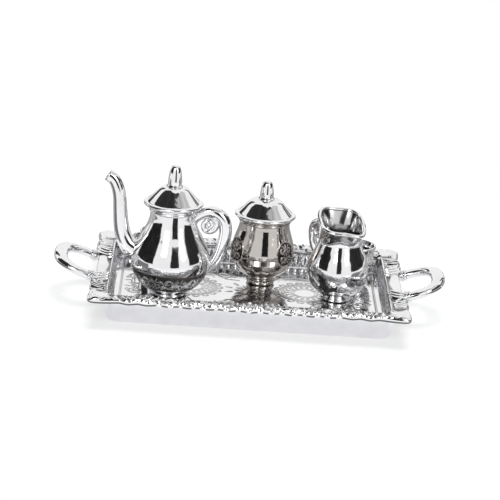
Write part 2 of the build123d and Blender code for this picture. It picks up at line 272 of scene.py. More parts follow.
def drop(long, wide, thick, rings=6, sides=8):
    # a small closed teardrop, hanging from the origin, for use as a repeated motif
    v = np.linspace(0, 1, rings + 1)[:, None]
    swell = np.sqrt(np.clip(v * (1 - v) ** 1.3, 0, 1)) * 1.9
    a = np.linspace(0, 2 * pi, sides, endpoint=False)[None]
    points = np.stack([wide * swell * np.cos(a), -thick * swell * np.sin(a), long * (0.15 - v) + 0 * a], -1)
    return meshFrom("drop", points.reshape(-1, 3), gridFaces(rings + 1, sides))


def joinParts(parts):
    # several (points, faces) grids as one
    points, faces, shift = [], [], 0
    for part in parts:
        points.append(part[0])
        faces.append(part[1] + shift)
        shift += len(part[0])
    return np.vstack(points), np.vstack(faces)


class Relief:
    # a height map in millimetres, drawn with round strokes; it may run round a vessel
    def __init__(self, width, depth, step=0.08, around=False):
        self.around = around
        self.columns = int(round(width / step)) + (0 if around else 1)
        self.step = width / (self.columns - (0 if around else 1))
        self.rows = int(round(depth / self.step)) + 1
        self.width = width
        self.depth = depth
        self.high = np.zeros((self.rows, self.columns))

    def dab(self, x, y, half, height):
        reach = int(half / self.step) + 1
        column, row = int(round(x / self.step)), int(round(y / self.step))
        low, top = max(row - reach, 0), min(row + reach + 1, self.rows)
        if low >= top:
            return
        rows = np.arange(low, top)
        columns = np.arange(column - reach, column + reach + 1)
        if not self.around:
            columns = columns[(columns >= 0) & (columns < self.columns)]
        away = ((rows[:, None] * self.step - y) ** 2 + (columns[None] * self.step - x) ** 2) / half ** 2
        lift = height * np.clip(1 - away, 0, 1) ** 0.75
        spot = np.ix_(rows, columns % self.columns)
        mix = np.maximum if height > 0 else np.minimum
        self.high[spot] = mix(self.high[spot], lift)

    def stroke(self, points, halves, height):
        p = np.array(points, float)
        run = runOf(p)
        halves = spread(halves, len(p))
        along = np.linspace(0, run[-1], max(int(run[-1] / (0.55 * self.step)) + 1, 2))
        for distance in along:
            half = np.interp(distance, run, halves)
            if half > 0.3 * self.step:
                self.dab(np.interp(distance, run, p[:, 0]), np.interp(distance, run, p[:, 1]),
                         half, height * min(1, half / (0.6 * max(halves))))

    def spiral(self, x, y, size, start, turns, halves, height, hand=1, shrink=0.25):
        t = np.linspace(0, 1, int(18 * abs(turns)) + 6)
        radius = size * (1 - (1 - shrink) * t)
        angle = radians(start) + hand * 2 * pi * turns * t
        self.stroke(np.stack([x + radius * np.cos(angle), y + radius * np.sin(angle)], 1), halves, height)

    def leaf(self, x, y, length, turn, half, height, bend=0.0):
        t = np.linspace(0, 1, 10)
        angle = radians(turn) + bend * t
        steps = length / 9
        px = x + np.concatenate([[0], np.cumsum(np.cos(angle[1:]) * steps)])
        py = y + np.concatenate([[0], np.cumsum(np.sin(angle[1:]) * steps)])
        self.stroke(np.stack([px, py], 1), [0.12 * half, half, 0.75 * half, 0.1 * half], height)

    def flower(self, x, y, size, petals, height, turn=0.0):
        for k in range(petals):
            self.leaf(x, y, size, turn + 360 * k / petals, size * 0.3, height)
        self.dab(x, y, size * 0.27, height * 1.25)

    def soften(self):
        wide = np.pad(self.high, ((1, 1), (1, 1)), mode="wrap" if self.around else "edge")
        self.high = (wide[1:-1, 1:-1] * 2 + wide[:-2, 1:-1] + wide[2:, 1:-1]
                     + wide[1:-1, :-2] + wide[1:-1, 2:]) / 6

    def sample(self, x, y):
        column, row = np.asarray(x) / self.step, np.clip(np.asarray(y) / self.step, 0, self.rows - 1.001)
        c, r = np.floor(column).astype(int), np.floor(row).astype(int)
        fc, fr = column - c, row - r
        if self.around:
            c, d = c % self.columns, (c + 1) % self.columns
        else:
            c = np.clip(c, 0, self.columns - 2)
            d = c + 1
        return ((self.high[r, c] * (1 - fc) + self.high[r, d] * fc) * (1 - fr)
                + (self.high[r + 1, c] * (1 - fc) + self.high[r + 1, d] * fc) * fr)


def standOf(node):
    # a vessel's axis, and the level of the floor under its foot
    low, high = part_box(node)
    return np.array([(low.x + high.x) / 2, (low.y + high.y) / 2, low.z]) / mm


def turned(outline, stand, columns=192, relief=None, reliefFrom=0.0, depth=0.1):
    # an outline of (radius, height) turned round an axis, with an optional band of relief whose
    # cuts go depth deep
    p = np.asarray(outline, float)
    run = runOf(p)
    tangent = np.gradient(p, axis=0)
    length = np.hypot(*tangent.T)[:, None]
    normal = np.stack([tangent[:, 1], -tangent[:, 0]], 1) / np.where(length == 0, 1, length)
    angle = np.linspace(0, 2 * pi, columns, endpoint=False)
    lift = np.zeros((len(p), columns))
    if relief is not None:
        rows = (run >= reliefFrom) & (run <= reliefFrom + relief.depth)
        lift[rows] = relief.sample(angle[None] / (2 * pi) * relief.width, run[rows, None] - reliefFrom)
    radius = p[:, :1] + normal[:, :1] * lift
    height = p[:, 1:] + normal[:, 1:] * lift
    points = [stand[0] + radius * np.cos(angle), stand[1] + radius * np.sin(angle),
              stand[2] + height + 0 * angle]
    return np.stack(points, -1).reshape(-1, 3), gridFaces(len(p), columns), (-lift / depth).ravel()


def tube(points, halves, across, segments=28, flat=1.0):
    # a bar along a plane path; across is the plane's normal, flat widens it that way
    p = np.array(points, float)
    halves = spread(halves, len(p))
    tangent = np.gradient(p, axis=0)
    tangent /= np.linalg.norm(tangent, axis=1)[:, None]
    side = np.cross(across, tangent)
    angle = np.linspace(0, 2 * pi, segments, endpoint=False)
    ring = (side[:, None] * np.cos(angle)[None, :, None]
            + np.asarray(across)[None, None] * flat * np.sin(angle)[None, :, None])
    body = p[:, None] + ring * halves[:, None, None]
    # the ends are rounded off by three shrinking rings and a pole
    dome = np.radians([30, 60, 90])
    head = [p[0] - tangent[0] * halves[0] * 0.6 * sin(a) + ring[0] * halves[0] * cos(a) for a in dome[::-1]]
    tail = [p[-1] + tangent[-1] * halves[-1] * 0.6 * sin(a) + ring[-1] * halves[-1] * cos(a) for a in dome]
    rings = np.concatenate([np.array(head), body, np.array(tail)])
    return rings.reshape(-1, 3), gridFaces(len(rings), segments)


def upright(stand, angle, flatPoints):
    # (radius, height) points in the vessel's upright plane at an angle, as places in space
    turn = radians(angle)
    f = np.asarray(flatPoints, float)
    out = np.stack([stand[0] + f[:, 0] * cos(turn), stand[1] + f[:, 0] * sin(turn), stand[2] + f[:, 1]], 1)
    return out, np.array([sin(turn), -cos(turn), 0.0])


def shellOutline(outer, wall, floorRise=0.8):
    # outer wall, rolled lip, inner wall and inside floor of a vessel, closed on its axis
    p = np.asarray(outer, float)
    tangent = np.gradient(p, axis=0)
    tangent /= np.hypot(*tangent.T)[:, None]
    inside = p - np.stack([tangent[:, 1], -tangent[:, 0]], 1) * wall
    inside = restep(inside[(inside[:, 0] > 0.3) & (inside[:, 1] > p[0, 1] + floorRise)][::-1], 0.45)
    lip = arcOf((p[-1] + inside[0]) / 2, wall / 2, 0, 180, 8)
    base = [(inside[-1, 0] * k, p[0, 1] + floorRise) for k in (0.8, 0.4, 0)]
    start = [(0, p[0, 1]), (p[0, 0] * 0.5, p[0, 1])]
    return np.vstack([start, p, lip[1:-1], inside, base])


print("tools ready")

# Teapot: pear-shaped body with an engraved girdle under the belly
teapotShape = {
    "outline": [(3.4, 0.9), (5.3, 1.55), (7.1, 3.2), (8.25, 5.6), (8.5, 7.9), (7.95, 10.2), (6.9, 12.4),
                (5.85, 14.3), (5.1, 16.2), (4.75, 18.3)],
    "wall": 0.75,
    "columns": 540,
    "girdle": (1.9, 6.1),  # heights of the engraved band
    "girth": 7.6,  # radius at which its pattern is drawn
    "repeats": 18,
    "cut": 0.13,
    "foot": (4.1, 3.45, 0.98),  # radius, seat under the vessel, height
    "mouthRing": (3.9, 5.4, 18.25, 1.45),  # bore, radius, base, height
    "lid": (19.72, 6.4, 3.5, 3.6),  # seat, flange, rise of the cone, skirt
    "finial": (23.9, 4.7),  # base, height
}


def girdleRelief(length, depth, repeats, cut):
    # running scrolls with leaves and flowers, standing on a sunk ground between two lines
    relief = Relief(length, depth, 0.07, around=True)
    pitch = length / repeats
    middle = depth / 2
    tall = depth * 0.28
    stem = [0.14, 0.24, 0.2]
    for k in range(repeats):
        x = pitch * (k + 0.5)
        up = 1 if k % 2 else -1
        relief.spiral(x, middle + up * 0.12 * depth, tall, 90 * up + 90, 1.35, stem, cut, up, 0.2)
        relief.stroke([(x - pitch * 0.5, middle - up * tall), (x - pitch * 0.2, middle - up * tall * 0.2),
                       (x, middle + up * tall * 1.1)], [0.1, 0.2, 0.12], cut)
        relief.flower(x + pitch * 0.5, middle, tall * 0.75, 6, cut, 30)
        for turn in (35, 90, 145):
            relief.leaf(x, middle - up * 0.12 * depth, tall * 1.2, -up * turn, 0.17, cut, 0.5 * up)
        for turn in (60, 120):
            relief.leaf(x + pitch * 0.5, middle, tall * 1.25, up * turn, 0.15, cut, 0.4)
            relief.leaf(x + pitch * 0.5, middle, tall * 1.25, -up * turn, 0.15, cut, -0.4)
    relief.high -= cut
    edge = np.linspace(0, depth, relief.rows)
    inside = np.clip(np.minimum(edge, depth - edge) / 0.16 - 0.4, 0, 1)[:, None]
    relief.high *= inside
    for level in (0.06, depth - 0.06):
        relief.stroke([(x, level) for x in np.linspace(0, length, 60)], [0.11, 0.11], -cut)
    return relief


def makeTeapotBody():
    shape = teapotShape
    stand = standOf("teapot_foot")
    low, top = shape["girdle"]
    outer = smoothThrough(shape["outline"], 14)
    outer = restep(outer, lambda r, h: 0.085 if low - 0.2 < h < top + 0.2 else 0.3)
    outline = shellOutline(outer, shape["wall"])
    run = runOf(outline)
    start = run[np.argmax(outline[:, 1] > low)]
    end = run[np.argmax(outline[:, 1] > top)]
    relief = girdleRelief(2 * pi * shape["girth"], end - start, shape["repeats"], shape["cut"])
    grid = turned(outline, stand, shape["columns"], relief, start, shape["cut"])
    showPiece("teapotBody", meshFrom("teapotBody", *grid), "engraved", "teapot", ["teapot_body"])


def turnedPiece(name, outline, foot, finish, body, node, columns=192):
    showPiece(name, meshFrom(name, *turned(outline, standOf(foot), columns)), finish, body, [node])


def footOutline(radius, seat, height):
    # bead on the tray, a hollow above it, and the seat under the vessel, with a hollow underside
    bead = min(0.32, height * 0.33)
    under = [(0, height - 0.3), (seat * 0.55, height - 0.3), (radius - 1.0, 0.05), (radius - 0.85, 0)]
    rim = arcOf((radius - bead, bead), bead, -90, 180, 8)
    waist = (seat * 0.93, (height + 2 * bead) / 2)
    neck = smoothThrough([(radius - bead * 1.4, 2 * bead), waist, (seat, height)], 6)
    return np.vstack([under, rim, neck, [(0, height)]])


def ringOutline(bore, radius, base, height):
    # mouth ring: a bead at its foot, a hollow, and a flared top face for the lid
    bead = height * 0.24
    wall = smoothThrough([(radius - 0.62, base + 2.1 * bead), (radius - 0.6, base + 2.7 * bead),
                          (radius - 0.1, base + height - 0.18), (radius, base + height - 0.06),
                          (radius - 0.05, base + height)], 6)
    return np.vstack([[(bore, base)], arcOf((radius - 0.62, base + bead), bead, -90, 180, 8), wall,
                      [(bore + 0.1, base + height), (bore, base + height - 0.1), (bore, base)]])


def lidOutline(seat, flange, rise, skirt):
    # rolled flange, a fine step, a gently swelling cone and a flat top, hollow underneath
    cone = [(flange - 0.72, seat + 0.80), (flange - 0.95, seat + 1.0), (flange - 1.9, seat + 2.05),
            (flange - 2.8, seat + 3.05), (flange - 3.45, seat + 0.2 + rise),
            (2.4, seat + 0.56 + rise), (1.9, seat + 0.66 + rise)]
    outside = np.vstack([
        arcOf((flange - 0.42, seat + 0.42), 0.42, -90, 150, 10),
        smoothThrough(cone, 8),
        [(1.5, seat + 0.7 + rise), (0, seat + 0.7 + rise)],
    ])
    under = [(0, seat + rise - 0.05), (1.7, seat + rise - 0.05), (skirt - 0.6, seat + 0.7),
             (skirt - 0.6, seat - 0.95), (skirt - 0.5, seat - 1.0), (skirt, seat - 0.95), (skirt, seat),
             (flange - 0.42, seat)]
    return np.vstack([under, outside])


def finialOutline(base, height):
    # collar, straight-sided bullet and round nose
    side = smoothThrough([(1.62, base + 0.32), (1.5, base + 0.5), (1.52, base + 1.1),
                          (1.4, base + 0.5 * height), (1.22, base + 0.74 * height),
                          (0.88, base + 0.91 * height), (0.4, base + 0.985 * height), (0, base + height)], 8)
    return np.vstack([[(0, base - 0.3), (1.5, base - 0.3), (1.74, base), (1.78, base + 0.14)], side])


def makeTeapotTrim():
    shape = teapotShape
    foot = "teapot_foot"
    turnedPiece("teapotFoot", footOutline(*shape["foot"]), foot, "polished", "teapot", foot)
    ring = ringOutline(*shape["mouthRing"])
    turnedPiece("teapotMouthRing", ring, foot, "polished", "teapot", "teapot_mouth_ring")
    lid = lidOutline(*shape["lid"])
    turnedPiece("teapotLid", lid, foot, "polished", "teapot_cover", "teapot_lid", 256)
    finial = finialOutline(*shape["finial"])
    turnedPiece("teapotFinial", finial, foot, "polished", "teapot_cover", "teapot_finial", 96)


# Swan-neck spout: an oval root on the belly, a slim neck and a lip that curls outwards
spoutShape = {
    "angle": 180.0,
    "route": [(6.6, 8.6), (8.0, 9.1), (9.3, 10.4), (10.35, 12.4), (10.95, 14.9), (11.3, 18.0), (11.55, 20.6),
              (12.05, 22.8), (12.95, 24.5), (14.15, 25.35)],
    "halves": [2.5, 2.25, 1.95, 1.75, 1.62, 1.5, 1.42, 1.38, 1.3, 1.3],
    "bore": 0.62,  # share of the outside
    "narrow": 0.94,  # width across, as a share of the height
}


def makeSpout():
    shape = spoutShape
    stand = standOf("teapot_foot")
    flatRoute = smoothThrough(shape["route"], 9)
    route, across = upright(stand, shape["angle"], flatRoute)
    halves = spread(shape["halves"], len(route))
    tangent = np.gradient(route, axis=0)
    tangent /= np.linalg.norm(tangent, axis=1)[:, None]
    side = np.cross(across, tangent)
    sides = 40
    angle = np.linspace(0, 2 * pi, sides, endpoint=False)
    sideways = side[:, None] * np.cos(angle)[None, :, None]
    ring = sideways + across[None, None] * shape["narrow"] * np.sin(angle)[None, :, None]
    outer = route[:, None] + ring * halves[:, None, None]
    bore = route[:, None] + ring * halves[:, None, None] * shape["bore"]
    middle, swell = (1 + shape["bore"]) / 2, (1 - shape["bore"]) / 2
    lip = [route[-1] + tangent[-1] * 0.14 * sin(a) + ring[-1] * halves[-1] * (middle + swell * cos(a))
           for a in np.radians([30, 60, 90, 120, 150])]
    rings = np.concatenate([outer, np.array(lip), bore[::-1], outer[:1]])
    mesh = meshFrom("teapotSpout", rings.reshape(-1, 3), gridFaces(len(rings), sides))
    showPiece("teapotSpout", mesh, "polished", "teapot", ["teapot_spout"])


# Handles: a bar from the neck over a small arc to a long tail, with a scroll curled inside
teapotGrip = {
    "angle": 0.0,
    "route": [(4.3, 16.1), (5.0, 17.15), (6.2, 18.05), (7.9, 18.7), (9.6, 18.3), (10.9, 17.0), (11.45, 15.1),
              (11.3, 12.6), (10.6, 9.9), (9.4, 7.4), (7.4, 5.4)],
    "halves": [0.9, 1.0, 1.1, 1.22, 1.36, 1.4, 1.4, 1.35, 1.25, 1.15, 0.9],
    "scroll": (7.75, 15.7),
    "scrollSize": 2.1,
    "scrollStart": 115.0,
    "scrollTurns": 1.45,
    "scrollHalves": [0.75, 0.62, 0.5, 0.42],
    "eye": 0.62,
}
creamerGrip = {
    "angle": 130.0,
    "route": [(4.0, 13.2), (4.6, 14.5), (5.5, 15.2), (6.7, 15.5), (8.0, 14.9), (8.7, 13.8), (8.8, 12.3),
              (8.4, 10.5), (7.5, 8.9), (6.0, 7.7)],
    "halves": [0.7, 0.75, 0.8, 0.9, 0.95, 0.95, 0.95, 0.9, 0.8, 0.65],
    "scroll": (6.6, 13.2),
    "scrollSize": 1.6,
    "scrollStart": 115.0,
    "scrollTurns": 1.35,
    "scrollHalves": [0.6, 0.5, 0.42, 0.36],
    "eye": 0.5,
}


def ball(centre, radius, rows=10, columns=20):
    a = np.linspace(-pi / 2, pi / 2, rows)[:, None]
    b = np.linspace(0, 2 * pi, columns, endpoint=False)[None]
    away = np.stack([np.cos(a) * np.cos(b), np.cos(a) * np.sin(b), np.sin(a) + 0 * b], -1)
    return (centre + radius * away).reshape(-1, 3), gridFaces(rows, columns)


def makeGrip(name, grip, foot, body, node):
    stand = standOf(foot)
    route, across = upright(stand, grip["angle"], smoothThrough(grip["route"], 8))
    bar = tube(route, grip["halves"], across, 32)
    t = np.linspace(0, 1, 60)
    radius = grip["scrollSize"] * (1 - 0.72 * t ** 0.8)
    angle = radians(grip["scrollStart"]) - 2 * pi * grip["scrollTurns"] * t
    curl = grip["scroll"] + np.stack([radius * np.cos(angle), radius * np.sin(angle)], 1)
    curlRoute, across = upright(stand, grip["angle"], curl)
    scroll = tube(curlRoute, grip["scrollHalves"], across, 20, 1.25)
    centre, across = upright(stand, grip["angle"], [grip["scroll"]])
    whole = joinParts([bar, scroll, ball(centre[0], grip["eye"])])
    showPiece(name, meshFrom(name, *whole), "polished", body, [node])


makeTeapotBody()
makeTeapotTrim()
makeSpout()
makeGrip("teapotHandle", teapotGrip, "teapot_foot", "teapot", "teapot_handle")
print("teapot made")

# Sugar bowl: a round bottom, a shoulder that draws in to the mouth, and three filigree panels
sugarShape = {
    "lower": [(3.0, 1.95), (4.6, 2.5), (5.85, 3.7), (6.6, 5.3), (6.86, 6.85)],
    "upper": [(7.0, 7.0), (6.88, 8.2), (6.55, 9.6), (6.05, 11.2), (5.6, 12.7), (5.45, 14.0)],
    "wall": 0.75,
    "columns": 520,
    "panels": [-152.0, -42.0, 90.0],  # degrees about the axis
    "panelWidth": 5.0,
    "panelLow": 4.9,
    "panelHigh": 11.0,
    "girth": 6.7,  # radius at which the panels are drawn
    "cut": 0.15,
    "mouthRing": (4.9, 6.05, 13.95, 1.15),
    "lid": (15.12, 6.7, 3.4, 4.5),
    "finial": (19.2, 4.1),
    "foot": [(2.75, 0.36, 0.36, 180), (2.45, 0.98, 0.26, 180), (2.5, 1.6, 0.36, 150)],
    "beads": 26,
    "beadRing": 2.92,
    "beadHigh": 0.78,
}


def panelRelief(length, depth, centres, width, cut):
    # an oval cartouche of curling stems at each centre, cut into a plain wall
    relief = Relief(length, depth, 0.07, around=True)
    tall, wide = depth * 0.47, width / 2
    stem = [0.2, 0.3, 0.2]
    turns = np.radians(np.linspace(0, 360, 60))
    for centre in centres:
        for hand in (-1, 1):
            for up, aside, level, size in ((1, 0.42, 0.68, 0.36), (-1, 0.4, 0.32, 0.34)):
                relief.spiral(centre + hand * wide * aside, depth * level, wide * size,
                              90 * up, 1.1, stem, cut, hand * up, 0.25)
            relief.leaf(centre + hand * 0.3, depth * 0.5, 1.9, 90 - hand * 65, 0.3, cut, 0.4 * hand)
        relief.dab(centre, depth * 0.5, 0.5, cut)
        relief.leaf(centre, depth * 0.56, 2.3, 90, 0.36, cut)
        relief.leaf(centre, depth * 0.44, 2.3, -90, 0.36, cut)
        x = np.arange(relief.columns) * relief.step
        away = (x - centre + length / 2) % length - length / 2
        rows = np.linspace(0, depth, relief.rows) - depth / 2
        oval = (away[None] / wide) ** 2 + (rows[:, None] / tall) ** 2
        ground = np.clip((1 - oval) / 0.1, 0, 1)
        relief.high = np.where(oval < 1.3, (relief.high - cut) * ground, relief.high)
        rim = np.stack([centre + wide * np.cos(turns), depth / 2 + tall * np.sin(turns)], 1)
        relief.stroke(rim, [0.12, 0.12], cut * 0.8)
    return relief


def makeSugarBowl():
    shape = sugarShape
    stand = standOf("sugar_foot")
    low, top = shape["panelLow"], shape["panelHigh"]
    both = np.vstack([smoothThrough(shape["lower"], 14), smoothThrough(shape["upper"], 14)])
    outline = shellOutline(restep(both, lambda r, h: 0.09 if low < h < top else 0.25), shape["wall"])
    run = runOf(outline)
    start, end = run[np.argmax(outline[:, 1] > low)], run[np.argmax(outline[:, 1] > top)]
    length = 2 * pi * shape["girth"]
    centres = [(turn % 360) / 360 * length for turn in shape["panels"]]
    relief = panelRelief(length, end - start, centres, shape["panelWidth"], shape["cut"])
    grid = turned(outline, stand, shape["columns"], relief, start, shape["cut"])
    # body, mouth ring and foot take the darker plate, whose low tone is painted shade
    showPiece("sugarBody", meshFrom("sugarBody", *grid), "warmShaded", "sugar_bowl", ["sugar_body"])
    foot = "sugar_foot"
    ring = ringOutline(*shape["mouthRing"])
    turnedPiece("sugarMouthRing", ring, foot, "warmShaded", "sugar_bowl", "sugar_mouth_ring")
    lid = lidOutline(*shape["lid"])
    turnedPiece("sugarLid", lid, foot, "polished", "sugar_cover", "sugar_lid", 256)
    finial = finialOutline(*shape["finial"])
    turnedPiece("sugarFinial", finial, foot, "polished", "sugar_cover", "sugar_finial", 96)
    # three rounded rings, one on the other: radius, height, half thickness and turn of each
    rings = [arcOf((radius, high), half, -90, turn, 8) for radius, high, half, turn in shape["foot"]]
    base = np.vstack([[(0, 1.5), (1.8, 1.5), (2.2, 0.05), (2.3, 0)], *rings, [(2.4, 2.0), (0, 2.0)]])
    turnedPiece("sugarFoot", base, foot, "warmShaded", "sugar_bowl", foot)
    angle = np.linspace(0, 2 * pi, 96, endpoint=False)
    away = np.stack([np.cos(angle), np.sin(angle), 0 * angle], 1) * shape["beadRing"]
    circle = stand + away + (0, 0, shape["beadHigh"])
    beads = repeatAlong("sugarFootBeads", circle, True, drop(0.8, 0.34, 0.24), shape["beads"],
                        (1.0, 1.0), "warmShaded")
    showPiece("sugarFootBeads", beads, "warmShaded", "sugar_bowl")


makeSugarBowl()
print("sugar bowl made")

# Cream jug: a round belly drawn out above the neck to a wide lip that dips towards the spout
creamerShape = {
    "outline": [(2.9, 1.15), (4.5, 1.8), (5.85, 3.4), (6.5, 5.6), (6.5, 7.6), (6.0, 9.6),
                (5.3, 11.2), (4.7, 12.8)],
    "wall": 0.65,
    "spoutAngle": -82.0,
    "insideShade": 0.35,  # how far the inside is darkened: painted shade inside the jug
    "mouthLong": 5.6,
    "mouthWide": 4.95,
    "squareness": 2.9,
    "mouthHeight": 17.4,
    "tilt": 12.0,
    "spoutPull": 0.5,
    "pullAt": 0.55,  # radians round from the low side to the pouring lip
    "pullHalf": 0.36,
    "ears": [(222.0, 24.0, 0.5), (40.0, 24.0, -0.5)],  # place, half width, rise of the rim
    "roll": 0.46,
    "lobes": (5, 0.1, 0.7),  # count, depth and turn of the soft lobes round the belly
    "lobeEnd": 1.5,  # how far above the neck they have died away
    "foot": (3.3, 2.95, 1.2),
    "columns": 288,
}


def mouthRadius(shape, angle):
    # polar radius of the squarish mouth about the jug's own axis, pulled out at the spout
    power = shape["squareness"]
    along = np.abs(np.cos(angle) / shape["mouthLong"]) ** power
    across = np.abs(np.sin(angle) / shape["mouthWide"]) ** power
    pull = shape["spoutPull"] * np.exp(-((angle - shape["pullAt"]) / shape["pullHalf"]) ** 2)
    return (along + across) ** (-1 / power) + pull


def makeCreamerBody():
    shape = creamerShape
    stand = standOf("creamer_foot")
    outer = restep(smoothThrough(shape["outline"], 12), 0.2)
    angle = np.linspace(-pi, pi, shape["columns"], endpoint=False)
    neckRadius, neckHeight = outer[-1]
    lipRadius = mouthRadius(shape, angle)
    lipHeight = shape["mouthHeight"] - lipRadius * np.cos(angle) * tan(radians(shape["tilt"]))
    for place, half, rise in shape["ears"]:
        away = (np.degrees(angle) - place + 180) % 360 - 180
        lipHeight = lipHeight + rise * np.exp(-(away / half) ** 2)
    spoutSide = np.exp(-((angle - shape["pullAt"]) / 0.8) ** 2)
    count, depth, twist = shape["lobes"]
    lobe = depth * np.cos(count * angle + twist)
    base, lobeTop = outer[0, 1], neckHeight + shape["lobeEnd"]
    rows = [(r + lobe * sin(pi * min(1, (h - base) / lobeTop)), np.full_like(angle, h)) for r, h in outer]
    for v in np.linspace(0, 1, 30)[1:]:
        flare = 0.15 * v + 0.85 * v ** (2.2 - 0.8 * spoutSide)
        fade = sin(pi * min(1, (neckHeight - base) / lobeTop)) * (1 - v) ** 2
        radius = neckRadius + lobe * fade + (lipRadius - neckRadius) * flare
        rows.append((radius - 0.2 * sin(pi * v) * (1 - v), neckHeight + (lipHeight - neckHeight) * v))
    wall, roll = shape["wall"], shape["roll"]
    edge = rows[-1]
    bend = np.radians(np.linspace(-40, 220, 12))
    lip = [(edge[0] - wall / 2 + roll * cos(a), edge[1] + roll * sin(a)) for a in bend]
    under = [(np.full_like(angle, outer[0, 0] * k), np.full_like(angle, base)) for k in (0.0, 0.5)]
    outside = under + rows[:-1] + lip
    inside = [(r - wall, h) for r, h in rows[::-1] if h.min() > base + wall][1:]
    inside += [(inside[-1][0] * k, np.full_like(angle, base + wall)) for k in (0.9, 0.5, 0.0)]
    # the inside rows are darkened towards the shade tone as painted shade; the outside rows are not
    insideShade = np.repeat([0.0, shape["insideShade"]], [len(outside), len(inside)])
    turn = angle + radians(shape["spoutAngle"])
    points = [np.column_stack([stand[0] + r * np.cos(turn), stand[1] + r * np.sin(turn), stand[2] + h])
              for r, h in outside + inside]
    faces = gridFaces(len(points), len(angle))
    mesh = meshFrom("creamerBody", np.vstack(points), faces, np.repeat(insideShade, len(angle)))
    showPiece("creamerBody", mesh, "engraved", "creamer", ["creamer_body"])


makeCreamerBody()
creamerFoot = footOutline(*creamerShape["foot"])
turnedPiece("creamerFoot", creamerFoot, "creamer_foot", "polished", "creamer", "creamer_foot")
makeGrip("creamerHandle", creamerGrip, "creamer_foot", "creamer", "creamer_handle")
print("cream jug made")

# Cups: bell-shaped, with an everted lip over a fine ring
cupShape = {
    "outline": [(2.0, 1.2), (3.0, 1.75), (3.6, 3.0), (3.8, 4.6), (3.7, 6.2), (3.75, 7.1), (4.1, 8.0)],
    "wall": 0.5,
    "gripCentre": (4.3, 4.9),
    "gripSize": 1.5,
    "gripHalf": 0.5,
    "bead": (3.72, 6.7),  # radius and height of the ring under the lip
    "beadHalf": 0.16,
    "foot": (2.35, 2.05, 1.25),
    "columns": 160,
    "angles": {"cup_left": 150.0, "cup_right": 75.0},
}


def makeCup(cup):
    shape = cupShape
    name = "cupLeft" if cup == "cup_left" else "cupRight"
    foot = cup + "_foot"
    stand = standOf(foot)
    outer = restep(smoothThrough(shape["outline"], 12), 0.18)
    wall = turned(shellOutline(outer, shape["wall"]), stand, shape["columns"])
    bead = turned(arcOf(shape["bead"], shape["beadHalf"], 0, 360, 10), stand, shape["columns"])
    whole = joinParts([wall, bead])
    showPiece(name + "Body", meshFrom(name + "Body", *whole), "polished", cup, [cup + "_body"])
    turnedPiece(name + "Foot", footOutline(*shape["foot"]), foot, "polished", cup, foot, 128)
    loop = arcOf(shape["gripCentre"], shape["gripSize"], -125, 250, 40)
    route, across = upright(stand, shape["angles"][cup], loop)
    bar = tube(route, [shape["gripHalf"] * k for k in (0.8, 1, 1, 1, 0.8)], across, 18)
    showPiece(name + "Handle", meshFrom(name + "Handle", *bar), "polished", cup, [cup + "_handle"])


for cup in ("cup_left", "cup_right"):
    makeCup(cup)
print("cups made")

# Tray: everything follows the rounded rectangle of the well's top edge
borderLow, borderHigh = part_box("tray_border")
panLow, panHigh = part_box("tray_pan")
trayShape = {
    "rimLength": (borderHigh.x - borderLow.x) / mm,
    "rimWidth": (borderHigh.y - borderLow.y) / mm,
    "rimTop": borderHigh.z / mm,
    "panLength": (panHigh.x - panLow.x) / mm,
    "panWidth": (panHigh.y - panLow.y) / mm,
    "panTop": panHigh.z / mm,
    "wall": 1.0,
    "wellCorner": 2.4,
    "floor": standOf("teapot_foot")[2],
    "taper": 1.45,
    "wellTaper": 0.77,
}


def roundedLoop(length, width, corner, columns):
    # evenly spaced places and outward directions round a rounded rectangle, from the front middle
    straightX, straightY, bend = length - 2 * corner, width - 2 * corner, pi / 2 * corner
    total = 2 * (straightX + straightY) + 4 * bend
    places, outs = [], []
    for s in np.linspace(0, total, columns, endpoint=False):
        s = (s + straightX / 2) % total
        x, y, heading = -straightX / 2, -width / 2, 0.0
        for run, curved in ((straightX, False), (bend, True), (straightY, False), (bend, True)) * 2:
            step = min(s, run)
            if curved:
                turn = step / corner
                x += corner * (sin(heading + turn) - sin(heading))
                y += corner * (cos(heading) - cos(heading + turn))
                heading += turn
            else:
                x += step * cos(heading)
                y += step * sin(heading)
            s -= step
            if s <= 0:
                break
        places.append((x, y))
        outs.append((sin(heading), -cos(heading)))
    return np.array(places), np.array(outs), total


wellLength = trayShape["panLength"] - 2 * trayShape["wall"]
wellWidth = trayShape["panWidth"] - 2 * trayShape["wall"]
borderColumns = 1480
loopPlaces, loopOuts, loopTotal = roundedLoop(wellLength, wellWidth, trayShape["wellCorner"], borderColumns)
cornerArc = pi / 2 * trayShape["wellCorner"]
sideX = wellLength - 2 * trayShape["wellCorner"]
sideY = wellWidth - 2 * trayShape["wellCorner"]
cornerPlaces = [sideX / 2 + cornerArc / 2, sideX / 2 + cornerArc * 1.5 + sideY]
cornerPlaces += [loopTotal - s for s in cornerPlaces]
endPlaces = [sideX / 2 + cornerArc + sideY / 2]
endPlaces += [loopTotal - endPlaces[0]]
sidePlaces = [0.0, loopTotal / 2]

borderShape = {
    "dip": 0.85,  # how far the edge draws in between its lobes
    "cornerRound": 6.0,
    "lobes": [
        # middles, distances from them, height, half width
        (cornerPlaces, [0.0], 1.25, 1.5),
        (cornerPlaces, [4.0], 1.0, 1.5),
        (sidePlaces, [0.0], 1.0, 1.7),
        (sidePlaces, [4.4, 8.6, 12.8, 17.0, 21.4], 0.9, 1.6),
        (endPlaces, [7.6, 11.6], 1.0, 1.5),
    ],
    "groundRibs": 150,
    "plainEnd": 11,  # no ground ribs this near to the middle of an end
    "tipCount": 17,
    "tipRun": 19.0,  # the tips end this far from the middle of a long side
}


def near(s, place):
    return (s - place + loopTotal / 2) % loopTotal - loopTotal / 2


